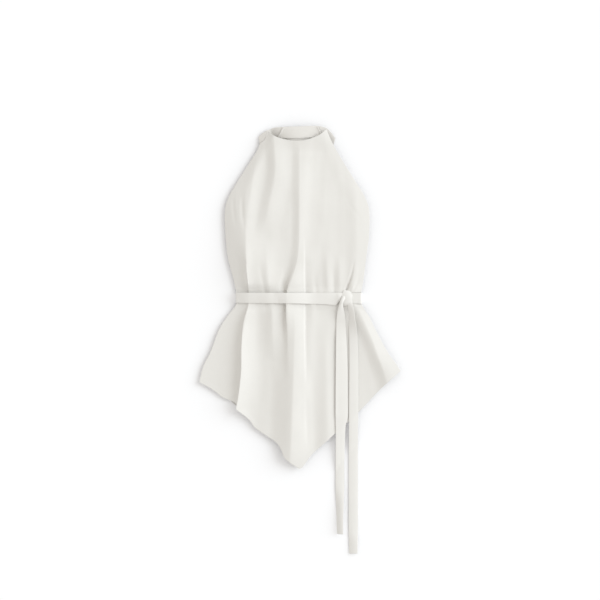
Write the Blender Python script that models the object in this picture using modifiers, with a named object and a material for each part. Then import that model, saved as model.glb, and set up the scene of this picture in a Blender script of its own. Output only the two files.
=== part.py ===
"""Sleeveless top with a knotted tie belt, laid flat with its front up.

The model is in metres and the tables are in millimetres. z = 0 is the surface that the
top lies on, +Y points to its neck, and +X is the right of a picture taken from above.
The origin lies under the middle of the whole outline, ties included.
"""

from bisect import bisect
from collections import namedtuple
from math import cos, hypot, pi

import bmesh
import bpy
from mathutils import Vector
from mathutils.bvhtree import BVHTree

MM = 0.001
LEFT, RIGHT = -1, 1
DOWN = Vector((0, 0, -1))

# Cloth and clearances: GAP is the real one, and LAY and FRONT_LAY are measured upright, so
# that they leave it on sloping cloth too
WALL = 1.4
STRIP_WALL = 1.6
GAP = 0.3
LAY = 0.45
FRONT_LAY = 0.55

# Colours
FRONT_COLOUR = (0.88, 0.86, 0.81)
BACK_COLOUR = (0.82, 0.80, 0.75)
BELT_COLOUR = (0.86, 0.84, 0.79)

# The belt lies across the waist between these two levels, and the back panel comes down to
# the floor again within the ramp
BELT_TOP = 113.0
BELT_LOW = 87.0
BELT_RAMP = 17.0
BELT_TURN = 1.2
BELT_PRESS = 0.6
BELT_PRESS_REACH = 13.0
WAIST_LEVELS = (130.0, 121.0, BELT_TOP, 100.0, BELT_LOW, 79.0, 70.0)

# Grids
FRONT_COLUMNS = 42
FRONT_BODICE_ROWS = 19
FRONT_PEPLUM_ROWS = 15
BACK_COLUMNS = 22
BACK_BODICE_ROWS = 14
BACK_PEPLUM_ROWS = 8
FACING_COLUMNS = 14
FACING_ROWS = 4
TOP_ROWS_CLOSER = 1.25
LEFT_COLUMNS_CLOSER = 0.86
NECK_BOW = 3
BACK_NECK_BOW = 4

# Outline of the front: where its left and right edges lie at each level
Level = namedtuple("Level", "y left right")
EDGES = (
    Level(504, -75, 62),
    Level(480, -86, 72),
    Level(470, -97, 77),
    Level(456, -103, 85),
    Level(427, -121, 102),
    Level(370, -157, 138),
    Level(341, -173, 155),
    Level(312, -181, 164),
    Level(254, -180, 164),
    Level(197, -174, 157),
    Level(139, -159, 150),
    Level(113, -154, 145),
    Level(87, -154, 146),
    Level(55, -177, 165),
    Level(26, -195, 179),
    Level(-31, -217, 210),
    Level(-60, -232, 231),
    Level(-101, -243, 255),
)

# Front neckline and hem, from the left of the picture to its right
Point = namedtuple("Point", "x y")
NECKLINE = (
    Point(-77, 500),
    Point(-65, 489),
    Point(-43, 481),
    Point(-13, 476.6),
    Point(16, 479.5),
    Point(46, 491.5),
    Point(62, 504),
)
HEM = (
    Point(-243, -101),
    Point(-209, -120),
    Point(-155, -164),
    Point(-121, -192),
    Point(-110, -208),
    Point(-75, -233),
    Point(-56, -246),
    Point(-45, -262),
    Point(-38, -281),
    Point(-12, -301),
    Point(0, -307.4),
    Point(9, -301),
    Point(27, -276),
    Point(58, -248),
    Point(81, -227),
    Point(139, -175),
    Point(199, -113),
    Point(243, -74),
)

# Back panel: its neck edge from one shoulder end to the other, the edges of those ends, and
# how it rises from the floor to the neck
BACK_NECK = (
    Point(-101, 487),
    Point(-91, 496),
    Point(-78, 503),
    Point(-61, 509),
    Point(-1, 511.5),
    Point(39, 512.6),
    Point(62, 508),
    Point(73, 498),
    Point(84, 484),
)
SHOULDER_ENDS = (
    Level(487, -101, 84),
    Level(476, -99, 81.5),
    Level(464, -98.5, 78),
)
SHOULDER_BLEND = 12.0
BACK_INSET = 2.0
BACK_HEM_INSET = 6.0
NECK_RISE = 12.0
NECK_RISE_FROM = 448.0
NECK_RISE_TO = 511.5
NECK_MIDDLE = -8.0
NECK_HALF = 93.0
NECK_SIDE_DROP = 0.7

# Facing inside the back neck, between the two shoulder seams
FACING_DEPTH = 27.0
FACING_INSET = 1.5
FACING_TOP_LEFT = -42.0
FACING_TOP_RIGHT = 41.0
FACING_LOW_LEFT = -57.0
FACING_LOW_RIGHT = 56.0

# How far the front stands above the back at each level: at its edges, towards its left, in
# its middle and towards its right, and how wide its rounded sides are
Section = namedtuple("Section", "y edge left middle right roll_left roll_right")
SECTIONS = (
    Section(500, 0.0, 4, 13, 8, 16, 10),
    Section(470, 1.5, 9, 17, 13, 22, 10),
    Section(400, 4.0, 12, 16, 10, 32, 11),
    Section(340, 2.5, 15, 17, 11, 42, 11),
    Section(300, 0.0, 17, 17, 12, 46, 12),
    Section(200, 0.0, 16, 16, 12, 46, 12),
    Section(145, 0.0, 10, 12, 10, 36, 12),
    Section(113, 0.0, 7, 9, 8, 26, 10),
    Section(87, 0.0, 6.5, 9, 8, 24, 10),
    Section(45, 0.0, 4.0, 10, 9, 18, 16),
    Section(-30, 0.5, 3.5, 10, 8, 16, 26),
    Section(-110, 1.0, 3.5, 9, 7, 16, 30),
    Section(-310, 1.5, 3.0, 7, 6, 16, 30),
)
EDGE_ROUNDNESS = 0.85
SIDE_START = 0.12
SIDE_SPAN = 0.38
LEAST_LOFT = 0.4

# Folds: each is a ridge (or, with negative heights, a valley) whose crest passes through
# the places, each an x and y with the height there; then the width of its two sides and
# how sharp its crest is, from 0 to 1
Fold = namedtuple("Fold", "crest left right sharp")
FOLDS = {
    "armhole ridge": Fold(
        ((-106, 462, 0), (-110, 408, 3.5), (-119, 355, 4.5), (-127, 300, 3.5), (-132, 235, 0)),
        30, 26, 0.3,
    ),
    "neck ridge": Fold(
        ((-66, 500, 5), (-62, 450, 6.5), (-61, 400, 6.5), (-76, 320, 5), (-90, 255, 0)),
        24, 44, 0.3,
    ),
    "centre ridge, bodice": Fold(
        ((-2, 476, 0), (-3, 440, 3), (-3, 330, 4.6), (-4, 230, 5.4), (-13, 187, 6.4),
         (-25, 150, 7.4), (-31, 113, 7), (-31, 87, 5), (-31, 50, 0)),
        20, 58, 0.5,
    ),
    "centre ridge, peplum": Fold(
        ((-30, 120, 0), (-29, 87, 3), (-27, 60, 8), (-22, 0, 11.5), (-20, -144, 13),
         (-24, -262, 12), (-27, -305, 7)),
        58, 66, 0.5,
    ),
    "right valley": Fold(
        ((32, 440, 0), (30, 390, -2), (24, 290, -2.6), (18, 230, -2), (14, 195, 0)),
        34, 34, 0.1,
    ),
    "pleat line": Fold(
        ((9, 205, 0), (9, 165, -2.4), (10, 113, -3), (11, 87, -3), (11, 20, -2.8),
         (12, -40, -1.8), (14, -110, 0)),
        28, 26, 0.8,
    ),
    "pinched crease": Fold(
        ((-40, 170, 0), (-38, 130, -4), (-39, 113, -4), (-38, 87, -4), (-38, 66, -5),
         (-36, 30, -4), (-34, -30, -2.4), (-33, -110, 0)),
        18, 14, 0.4,
    ),
    "waist ridge": Fold(
        ((-84, 240, 0), (-80, 180, 5), (-76, 140, 7), (-71, 113, 6.5), (-67, 87, 5),
         (-66, 50, 3.4), (-70, 0, 0)),
        32, 34, 0.5,
    ),
    "left dart": Fold(((62, 215, 0), (64, 160, 2.2), (66, 113, 2.4), (66, 87, 0)), 14, 20, 0.5),
    "right dart": Fold(((92, 205, 0), (93, 160, 2.2), (94, 113, 2), (94, 87, 0)), 14, 20, 0.5),
    "side tuck": Fold(
        ((132, 200, 0), (128, 160, 1.6), (122, 113, 2.4), (124, 87, 2.4), (132, 60, 0)),
        16, 22, 0.4,
    ),
    "side fold": Fold(
        ((-130, 255, 0), (-130, 190, 6.5), (-127, 140, 10.5), (-124, 113, 9), (-125, 87, 10),
         (-136, 38, 15), (-141, -14, 16), (-142, -74, 16), (-149, -137, 14.5), (-155, -166, 13)),
        31, 60, 1.0,
    ),
    "hem ridge": Fold(((62, 60, 0), (62, 0, 3.5), (62, -100, 4.5), (64, -245, 4.5)), 36, 34, 0.2),
    "flank fold": Fold(
        ((132, 87, 2.4), (142, 60, 5), (156, 28, 8), (167, 0, 9), (179, -36, 9), (193, -74, 8),
         (206, -112, 6.5)),
        34, 150, 0.5,
    ),
}

# Knot, sitting on the belt
KNOT_X = 107.0
KNOT_Y = 98.0
KNOT_WIDTH = 27.0
KNOT_LENGTH = 33.0
KNOT_HEIGHT = 9.5
KNOT_SQUARENESS = 0.55
KNOT_SEAT = 0.25
KNOT_WAIST = 0.14
KNOT_SEGMENTS = 24
KNOT_RINGS = 14

# Free ends: the middle and width of the strip at each level, and how far it stands above
# what it lies on
Strip = namedtuple("Strip", "y middle width lift")
TIE_SHORT = (
    Strip(81, 98, 17, 3.0),
    Strip(62, 96, 21, 1.0),
    Strip(24, 96.5, 23, 0.2),
    Strip(-100, 98, 29, 0.2),
    Strip(-185, 98, 30, 0.2),
    Strip(-205, 95.5, 23, 0.6),
    Strip(-360, 94.5, 21, 0.0),
    Strip(-390, 94.5, 16, 0.6),
    Strip(-465, 95, 12, 0.0),
)
TIE_LONG = (
    Strip(80.8, 120, 14, 2.0),
    Strip(62, 122, 14, 0.8),
    Strip(24, 125, 17, 0.2),
    Strip(-60, 127, 19, 0.2),
    Strip(-144, 126.5, 22, 0.2),
    Strip(-455, 126.5, 22, 0.0),
    Strip(-512.6, 126.5, 19, 0.0),
)
STRIP_COLUMNS = 4
STRIP_STEP = 14.0
STRIP_CROWN = 0.5
STRIP_CLEAR = 0.35


def mix(a, b, t):
    return a + (b - a) * t


def ease(t):
    """0 to 1 with level ends."""
    t = min(max(t, 0.0), 1.0)
    return t * t * (3 - 2 * t)


def curve(pairs):
    """A smooth curve through pairs of a place and a value, level past its ends."""
    places, values = zip(*sorted(pairs))
    last = len(places) - 1
    slopes = [
        (values[min(i + 1, last)] - values[max(i - 1, 0)])
        / (places[min(i + 1, last)] - places[max(i - 1, 0)])
        for i in range(last + 1)
    ]

    def read(place):
        if place <= places[0]:
            return values[0]
        if place >= places[last]:
            return values[last]
        k = bisect(places, place)
        span = places[k] - places[k - 1]
        t = (place - places[k - 1]) / span
        return (
            values[k - 1] * (1 + 2 * t) * (1 - t) ** 2
            + values[k] * t * t * (3 - 2 * t)
            + span * t * (1 - t) * (slopes[k - 1] * (1 - t) - slopes[k] * t)
        )

    return read


def columns_of(rows, place, *names):
    """One curve for each named column of a table, read by the column called place."""
    return [curve((getattr(row, place), getattr(row, name)) for row in rows) for name in names]


EDGE = dict(zip((LEFT, RIGHT), columns_of(EDGES, "y", "left", "right")))
SHOULDER = dict(zip((LEFT, RIGHT), columns_of(SHOULDER_ENDS, "y", "left", "right")))
BACK_HEM = tuple(Point(p.x, p.y + BACK_HEM_INSET) for p in HEM)
EDGE_LOFT, LOFT_LEFT, LOFT_MIDDLE, LOFT_RIGHT, ROLL_LEFT, ROLL_RIGHT = columns_of(
    SECTIONS, "y", "edge", "left", "middle", "right", "roll_left", "roll_right"
)
CRESTS = [
    (curve((y, x) for x, y, _ in fold.crest), curve((y, h) for _, y, h in fold.crest), fold)
    for fold in FOLDS.values()
]


def belt_rise(y):
    """How far the belt's back run lifts the cloth that lies on it."""
    past = max(y - BELT_TOP, BELT_LOW - y, 0.0)
    return (STRIP_WALL + GAP) * (1 - ease(past / BELT_RAMP))


def back_floor(x, y):
    """The underside of the back panel."""
    rise = NECK_RISE * ease((y - NECK_RISE_FROM) / (NECK_RISE_TO - NECK_RISE_FROM))
    across = 1 - NECK_SIDE_DROP * min(abs(x - NECK_MIDDLE) / NECK_HALF, 1.0) ** 2
    return rise * across + belt_rise(y)


def fold_heights(x, y):
    """What the folds add at a place."""
    total = 0.0
    for crest_x, crest_height, fold in CRESTS:
        away = x - crest_x(y)
        t = 1 - abs(away) / (fold.left if away < 0 else fold.right)
        if t > 0:
            total += crest_height(y) * mix(ease(t), 1 - cos(pi * t / 2), fold.sharp)
    from_belt = max(y - BELT_TOP, BELT_LOW - y, 0.0)
    return total * (1 - BELT_PRESS * (1 - ease(from_belt / BELT_PRESS_REACH)))


def loft(x, y, across):
    """How far the front stands above the back at a place, and across from 0 to 1."""
    if across < 0.5:
        body = mix(LOFT_LEFT(y), LOFT_MIDDLE(y), ease((across - SIDE_START) / SIDE_SPAN))
    else:
        body = mix(LOFT_MIDDLE(y), LOFT_RIGHT(y), ease((across - 0.5) / SIDE_SPAN))
    body = max(body + fold_heights(x, y), LEAST_LOFT)
    rolled = 1.0
    for inside in ((x - EDGE[LEFT](y)) / ROLL_LEFT(y), (EDGE[RIGHT](y) - x) / ROLL_RIGHT(y)):
        t = min(max(inside, 0.0), 1.0)
        rolled *= (1 - (1 - t) ** 2) ** EDGE_ROUNDNESS
    return mix(EDGE_LOFT(y), body, rolled)


def rows_of(bodice_rows, peplum_rows):
    """Rows from neck to hem, each as its part and how far down that part it lies, from 0 to 1."""
    first, last = WAIST_LEVELS[0], WAIST_LEVELS[-1]
    rows = [("bodice", (i / bodice_rows) ** TOP_ROWS_CLOSER) for i in range(bodice_rows + 1)]
    rows += [("waist", (first - y) / (first - last)) for y in WAIST_LEVELS[1:]]
    rows += [("peplum", i / peplum_rows) for i in range(1, peplum_rows + 1)]
    return rows


def panel(top, low, side, bow_power):
    """A function that gives where a point of a panel lies, seen from above. Its top and low
    curves bow the rows near them, and side gives where each edge is at a level."""
    top_y = curve((p.x, p.y) for p in top)
    low_y = curve((p.x, p.y) for p in low)
    first, last = WAIST_LEVELS[0], WAIST_LEVELS[-1]

    def place(across, row):
        part, down = row
        bow = 0.0
        if part == "bodice":
            y_left, y_right = mix(top[0].y, first, down), mix(top[-1].y, first, down)
            bow = top_y(mix(top[0].x, top[-1].x, across)) - mix(top[0].y, top[-1].y, across)
            bow *= (1 - down) ** bow_power
        elif part == "waist":
            y_left = y_right = mix(first, last, down)
        else:
            y_left, y_right = mix(last, low[0].y, down), mix(last, low[-1].y, down)
            bow = low_y(mix(low[0].x, low[-1].x, across)) - mix(low[0].y, low[-1].y, across)
            bow *= down
        x = mix(side(LEFT, y_left), side(RIGHT, y_right), across)
        return x, mix(y_left, y_right, across) + bow

    return place


def back_edge(side, y):
    """The shoulder ends at the top, then just inside the edges of the front."""
    low = SHOULDER_ENDS[-1].y
    if y > low:
        return SHOULDER[side](y)
    inside = EDGE[side](y) - side * BACK_INSET
    return mix(SHOULDER[side](low), inside, ease((low - y) / SHOULDER_BLEND))


front_xy = panel(NECKLINE, HEM, lambda side, y: EDGE[side](y), NECK_BOW)
back_xy = panel(BACK_NECK, BACK_HEM, back_edge, BACK_NECK_BOW)
back_neck_y = curve((p.x, p.y) for p in BACK_NECK)


def front_point(across, row):
    x, y = front_xy(across, row)
    return x, y, back_floor(x, y) + WALL + FRONT_LAY + WALL + loft(x, y, across)


def back_point(across, row):
    x, y = back_xy(across, row)
    return x, y, back_floor(x, y)


def facing_point(across, down):
    """Down from the neck edge, with its ends on the two shoulder seams."""
    top_x = mix(FACING_TOP_LEFT, FACING_TOP_RIGHT, across)
    low_x = mix(FACING_LOW_LEFT, FACING_LOW_RIGHT, across)
    x = mix(top_x, low_x, down)
    y = back_neck_y(x) - FACING_INSET - FACING_DEPTH * down
    return x, y, back_floor(x, y) + WALL + LAY


def front_column(i):
    """Columns lie closer together on the left half, where the folds are."""
    t = i / FRONT_COLUMNS
    return t * mix(LEFT_COLUMNS_CLOSER, 1.0, t)


def belt_loop():
    """Places round the belt's inner face, each a function of the row: over the front from
    left to right, round its edge, back under the back panel and up again."""
    def over(across, row):
        x, y, z = front_point(across, row)
        return x, y, z + LAY

    def turn(side, share, row):
        x, y, z = over(0.0 if side == LEFT else 1.0, row)
        bulge = BELT_TURN * (0.5 + 2 * share * (1 - share))
        return x + side * bulge, y, mix(z, STRIP_WALL, share)

    def under(across, row):
        return *front_xy(across, row), STRIP_WALL

    loop = [(over, (front_column(i),)) for i in range(FRONT_COLUMNS + 1)]
    loop += [(turn, (RIGHT, share)) for share in (0.25, 0.5, 0.75)]
    loop += [(under, (across,)) for across in (1.0, 0.97, 0.8, 0.5, 0.2, 0.03, 0.0)]
    loop += [(turn, (LEFT, share)) for share in (0.75, 0.5, 0.25)]
    return loop


def cloth(name, colour):
    material = bpy.data.materials.new(name)
    material.use_nodes = True
    shader = material.node_tree.nodes["Principled BSDF"]
    shader.inputs["Base Color"].default_value = (*colour, 1.0)
    shader.inputs["Roughness"].default_value = 0.85
    shader.inputs["Metallic"].default_value = 0.0
    return material


def new_object(name, mesh, colour, collection):
    data = bpy.data.meshes.new(name)
    mesh.to_mesh(data)
    mesh.free()
    data.materials.append(cloth(f"{name}_cloth", colour))
    data.shade_smooth()
    obj = bpy.data.objects.new(name, data)
    collection.objects.link(obj)
    return obj


def sheet(name, columns, rows, place, colour, collection):
    """An open surface: a grid whose points are placed by their column and row."""
    mesh = bmesh.new()
    bmesh.ops.create_grid(mesh, x_segments=columns, y_segments=rows, size=0.5)
    for vert in mesh.verts:
        i = round((vert.co.x + 0.5) * columns)
        j = round((0.5 - vert.co.y) * rows)
        vert.co = Vector(place(i, j)) * MM
    bmesh.ops.remove_doubles(mesh, verts=mesh.verts, dist=0.01 * MM)
    return new_object(name, mesh, colour, collection)


def thicken(obj, wall, side):
    """A wall on one side of the surface: 1 on the side that it faces, -1 behind it."""
    solid = obj.modifiers.new("Wall", "SOLIDIFY")
    solid.thickness = wall * MM
    solid.offset = side
    return obj


def make_panels(collection):
    """The back, the front over it and the facing in the neck. It returns the front."""
    back_rows = rows_of(BACK_BODICE_ROWS, BACK_PEPLUM_ROWS)
    back = sheet(
        "back", BACK_COLUMNS, len(back_rows) - 1,
        lambda i, j: back_point(i / BACK_COLUMNS, back_rows[j]),
        BACK_COLOUR, collection,
    )
    thicken(back, WALL, 1)
    facing = sheet(
        "neck_facing", FACING_COLUMNS, FACING_ROWS,
        lambda i, j: facing_point(i / FACING_COLUMNS, j / FACING_ROWS),
        BACK_COLOUR, collection,
    )
    thicken(facing, WALL, 1)
    rows = rows_of(FRONT_BODICE_ROWS, FRONT_PEPLUM_ROWS)
    front = sheet(
        "front", FRONT_COLUMNS, len(rows) - 1,
        lambda i, j: front_point(front_column(i), rows[j]),
        FRONT_COLOUR, collection,
    )
    return thicken(front, WALL, -1)


def make_belt(collection):
    """A closed band made from the front's own points at the waist, moved out."""
    rows = rows_of(FRONT_BODICE_ROWS, FRONT_PEPLUM_ROWS)
    first = FRONT_BODICE_ROWS + WAIST_LEVELS.index(BELT_TOP)
    last = FRONT_BODICE_ROWS + WAIST_LEVELS.index(BELT_LOW)
    loop = belt_loop()

    def place(i, j):
        function, where = loop[i % len(loop)]
        return function(*where, rows[first + j])

    belt = sheet("belt", len(loop), last - first, place, BELT_COLOUR, collection)
    return thicken(belt, STRIP_WALL, 1)


def height_of(obj):
    """A function that gives the highest point of a piece at a place, or the floor."""
    bpy.context.view_layer.update()
    tree = BVHTree.FromObject(obj, bpy.context.evaluated_depsgraph_get())

    def height(x, y):
        hit = tree.ray_cast(Vector((x * MM, y * MM, 1.0)), DOWN)[0]
        return 0.0 if hit is None else max(hit.z / MM, 0.0)

    return height


def make_knot(belt, collection):
    """A soft knot with a flat seat, drawn in where the belt passes through it."""
    height = height_of(belt)
    shares = (-0.5, -0.25, 0.0, 0.25, 0.5)
    base = GAP + max(
        height(KNOT_X + a * KNOT_WIDTH, KNOT_Y + b * KNOT_LENGTH) for a in shares for b in shares
    )
    mesh = bmesh.new()
    bmesh.ops.create_uvsphere(mesh, u_segments=KNOT_SEGMENTS, v_segments=KNOT_RINGS, radius=1.0)
    for vert in mesh.verts:
        x, y, z = vert.co
        corner = hypot(x, y) / max(abs(x), abs(y)) if hypot(x, y) > 0.01 else 1.0
        square = mix(1.0, corner, KNOT_SQUARENESS)
        narrow = 1 - KNOT_WAIST * cos(pi * min(abs(y), 1.0) / 2) ** 2
        vert.co = Vector(
            (
                KNOT_X + x * square * narrow * KNOT_WIDTH / 2,
                KNOT_Y + y * square * KNOT_LENGTH / 2,
                base + max(0.0, mix(z, 1.0, KNOT_SEAT) * KNOT_HEIGHT),
            )
        ) * MM
    bmesh.ops.remove_doubles(mesh, verts=mesh.verts, dist=0.05 * MM)
    return new_object("belt_knot", mesh, BELT_COLOUR, collection)


def make_strip(name, rows, height, collection):
    """A free end of the belt, laid over the front and then along the floor."""
    length = rows[0].y - rows[-1].y
    steps = round(length / STRIP_STEP)
    reach = length / steps
    middle, width, lift = columns_of(rows, "y", "middle", "width", "lift")

    def seat(y):
        """The height of what lies under the whole width of the strip, near this level."""
        top = max(
            height(middle(y) + width(y) * a, y + reach * b)
            for a in (-0.6, -0.3, 0, 0.3, 0.6)
            for b in (-1, -0.5, 0, 0.5, 1)
        )
        return top + STRIP_CLEAR if top > 0 else 0.0

    seats = [seat(rows[0].y - reach * j) for j in range(steps + 1)]
    softened = [
        max(here, (before + here + after) / 3)
        for before, here, after in zip([seats[0], *seats], seats, [*seats[1:], seats[-1]])
    ]

    def place(i, j):
        y = rows[0].y - reach * j
        side = 2 * i / STRIP_COLUMNS - 1
        crown = STRIP_CROWN * (1 - side * side) if softened[j] > 0 else 0.0
        return middle(y) + side * width(y) / 2, y, softened[j] + lift(y) + crown

    strip = sheet(name, STRIP_COLUMNS, steps, place, BELT_COLOUR, collection)
    return thicken(strip, STRIP_WALL, 1)


def build():
    for old in list(bpy.data.objects):
        bpy.data.objects.remove(old, do_unlink=True)
    collection = bpy.data.collections.new("sleeveless_top")
    bpy.context.scene.collection.children.link(collection)
    front = make_panels(collection)
    belt = make_belt(collection)
    make_knot(belt, collection)
    on_front = height_of(front)
    make_strip("tie_short", TIE_SHORT, on_front, collection)
    make_strip("tie_long", TIE_LONG, on_front, collection)


build()
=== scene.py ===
"""The looks of a sleeveless top with a tie belt, laid flat with its front up.

Tables and functions are in millimetres, and meshes in metres. z = 0 is the surface that
the top lies on, +Y points to its neck. The cloth has the outline of the solids and nearly
their sections and folds, with finer creases added. The belt, its knot and its ends are
bands that lie on the cloth below them.
"""

from bisect import bisect
from collections import namedtuple
from math import cos, hypot, pi, radians, sin

import bmesh
import bpy
from mathutils import Matrix, Vector, noise
from mathutils.bvhtree import BVHTree


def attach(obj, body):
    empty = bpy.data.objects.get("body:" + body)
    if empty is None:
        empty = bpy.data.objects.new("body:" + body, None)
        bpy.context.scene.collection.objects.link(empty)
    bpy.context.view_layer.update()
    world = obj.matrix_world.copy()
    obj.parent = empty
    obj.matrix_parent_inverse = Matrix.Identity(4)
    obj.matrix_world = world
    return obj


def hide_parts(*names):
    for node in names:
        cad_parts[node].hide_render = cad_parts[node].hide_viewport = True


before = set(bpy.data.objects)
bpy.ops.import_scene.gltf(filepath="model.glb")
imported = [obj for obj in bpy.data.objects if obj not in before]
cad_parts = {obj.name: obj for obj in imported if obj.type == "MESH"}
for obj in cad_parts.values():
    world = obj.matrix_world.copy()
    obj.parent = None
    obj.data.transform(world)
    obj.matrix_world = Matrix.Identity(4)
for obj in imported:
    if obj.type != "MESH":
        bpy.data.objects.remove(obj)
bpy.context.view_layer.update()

MM = 0.001
LEFT, RIGHT = -1, 1
UP = Vector((0, 0, 1))

# The solids' own clearances and walls
SOLID_WALL = 1.4
BELT_SOLID_WALL = 1.6
GAP = 0.3
LAY = 0.45
FRONT_LAY = 0.55

# Cloth as it is seen: a crepe with turned edges, and the belt of two layers
CLOTH = 1.0
EDGE_ROUND = 0.35
EDGE_SEGMENTS = 2
BELT_CLOTH = 1.4
SHARP_EDGE = radians(72)
JOIN_WITHIN = 0.01

# The belt across the waist, in the solids and as it is seen
BELT_TOP = 113.0
BELT_LOW = 87.0
BELT_RAMP = 17.0
BELT_PRESS = 0.45
BELT_PRESS_REACH = 22.0
WAIST_TOP = 130.0
WAIST_LOW = 70.0

# Grids of the panels as they are seen. The front's columns are counted between its guides
GUIDE_COLUMNS = 26, 40, 22, 42, 20
FRONT_COLUMNS = sum(GUIDE_COLUMNS)
FRONT_ROWS = 124, 48, 112
BACK_COLUMNS = 90
BACK_ROWS = 90, 14, 60
FACING_COLUMNS = 60
FACING_ROWS = 16
TOP_ROWS_CLOSER = 1.25
GUIDE_TRIES = 4
GUIDES_APART = 0.02
LAST_GUIDE = 0.98
NECK_BOW = 3
BACK_NECK_BOW = 4

# Outline of the front: where its left and right edges lie at each level
Level = namedtuple("Level", "y left right")
EDGES = (
    Level(504, -75, 62),
    Level(480, -86, 72),
    Level(470, -97, 77),
    Level(456, -103, 85),
    Level(427, -121, 102),
    Level(370, -157, 138),
    Level(341, -173, 155),
    Level(312, -181, 164),
    Level(254, -180, 164),
    Level(197, -174, 157),
    Level(139, -159, 150),
    Level(113, -154, 145),
    Level(87, -154, 146),
    Level(55, -177, 165),
    Level(26, -195, 179),
    Level(-31, -217, 210),
    Level(-60, -232, 231),
    Level(-101, -243, 255),
)

# Front neckline and hem, from the left of the picture to its right
Point = namedtuple("Point", "x y")
NECKLINE = (
    Point(-77, 500),
    Point(-65, 489),
    Point(-43, 481),
    Point(-13, 476.6),
    Point(16, 479.5),
    Point(46, 491.5),
    Point(62, 504),
)
HEM = (
    Point(-243, -101),
    Point(-209, -120),
    Point(-155, -164),
    Point(-121, -192),
    Point(-110, -208),
    Point(-75, -233),
    Point(-56, -246),
    Point(-45, -262),
    Point(-38, -281),
    Point(-12, -301),
    Point(0, -307.4),
    Point(9, -301),
    Point(27, -276),
    Point(58, -248),
    Point(81, -227),
    Point(139, -175),
    Point(199, -113),
    Point(243, -74),
)
HEM_DEPTH = 11.0
HEM_STEP = 0.15
HEM_STEP_WIDTH = 3.0

# Back panel: its neck edge and the shoulder ends that show beside the front
BACK_NECK = (
    Point(-101, 487),
    Point(-91, 496),
    Point(-78, 503),
    Point(-61, 509),
    Point(-1, 511.5),
    Point(39, 512.6),
    Point(62, 508),
    Point(73, 498),
    Point(84, 484),
)
SHOULDER_ENDS = (
    Level(487, -101, 84),
    Level(476, -99, 81.5),
    Level(464, -98.5, 78),
)
SHOULDER_BLEND = 12.0
BACK_INSET = 2.0
BACK_HEM_INSET = 6.0
NECK_RISE = 12.0
NECK_RISE_FROM = 448.0
NECK_RISE_TO = 511.5
NECK_MIDDLE = -8.0
NECK_HALF = 93.0
NECK_SIDE_DROP = 0.7
SHOULDER_STEP = 1.6
SHOULDER_STEP_WIDTH = 3.0
SHOULDER_STEP_FADES = 22.0

# Facing inside the back neck, between the two shoulder seams
FACING_DEPTH = 27.0
FACING_INSET = 1.5
FACING_TOP_LEFT = -42.0
FACING_TOP_RIGHT = 41.0
FACING_LOW_LEFT = -57.0
FACING_LOW_RIGHT = 56.0
FACING_FLAT_ACROSS = 2.0
FACING_FLAT_DOWN = 1.7
SEAM_WIDTH = 3.0
SEAM_HEIGHT = 1.7

# How far the front stands above the back at each level: at its left edge, towards its left,
# in its middle, towards its right and at its right edge, over what width each side rounds,
# and how far the edges of the back curl up to meet it
Section = namedtuple(
    "Section", "y left_edge left middle right right_edge roll_left roll_right curl_left curl_right"
)
SECTIONS = (
    Section(500, 4.0, 6, 9.5, 9, 7.0, 16, 18, 0.0, 0.0),
    Section(470, 4.5, 10, 12.2, 11, 8.5, 22, 26, 0.8, 1.5),
    Section(400, 4.5, 12, 16, 10, 7.4, 32, 40, 3.4, 4.6),
    Section(340, 4.6, 15.6, 17, 11, 7.6, 40, 54, 3.8, 4.6),
    Section(300, 4.6, 18, 17, 12, 8.0, 43, 56, 3.8, 4.8),
    Section(200, 4.6, 17, 16, 12, 8.0, 43, 56, 3.8, 4.8),
    Section(145, 4.2, 11, 12, 10, 7.6, 34, 44, 3.4, 4.8),
    Section(113, 3.6, 8, 9, 8, 6.0, 26, 30, 2.8, 3.6),
    Section(87, 3.6, 7, 9, 8, 6.0, 26, 30, 2.8, 3.6),
    Section(45, 4.2, 4.6, 10, 7.5, 7.0, 32, 36, 3.4, 4.4),
    Section(-30, 4.8, 4.4, 10, 6, 7.4, 44, 40, 4.0, 4.8),
    Section(-110, 5.0, 4.0, 9, 6, 7.4, 60, 40, 4.2, 5.0),
    Section(-310, 4.6, 3.2, 7, 6, 5.5, 60, 50, 3.8, 4.0),
)
CURL_REACH = 26.0
HEM_CURL = 3.6
SIDE_START = 0.12
SIDE_SPAN = 0.38
LEAST_LOFT = 0.4

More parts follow.
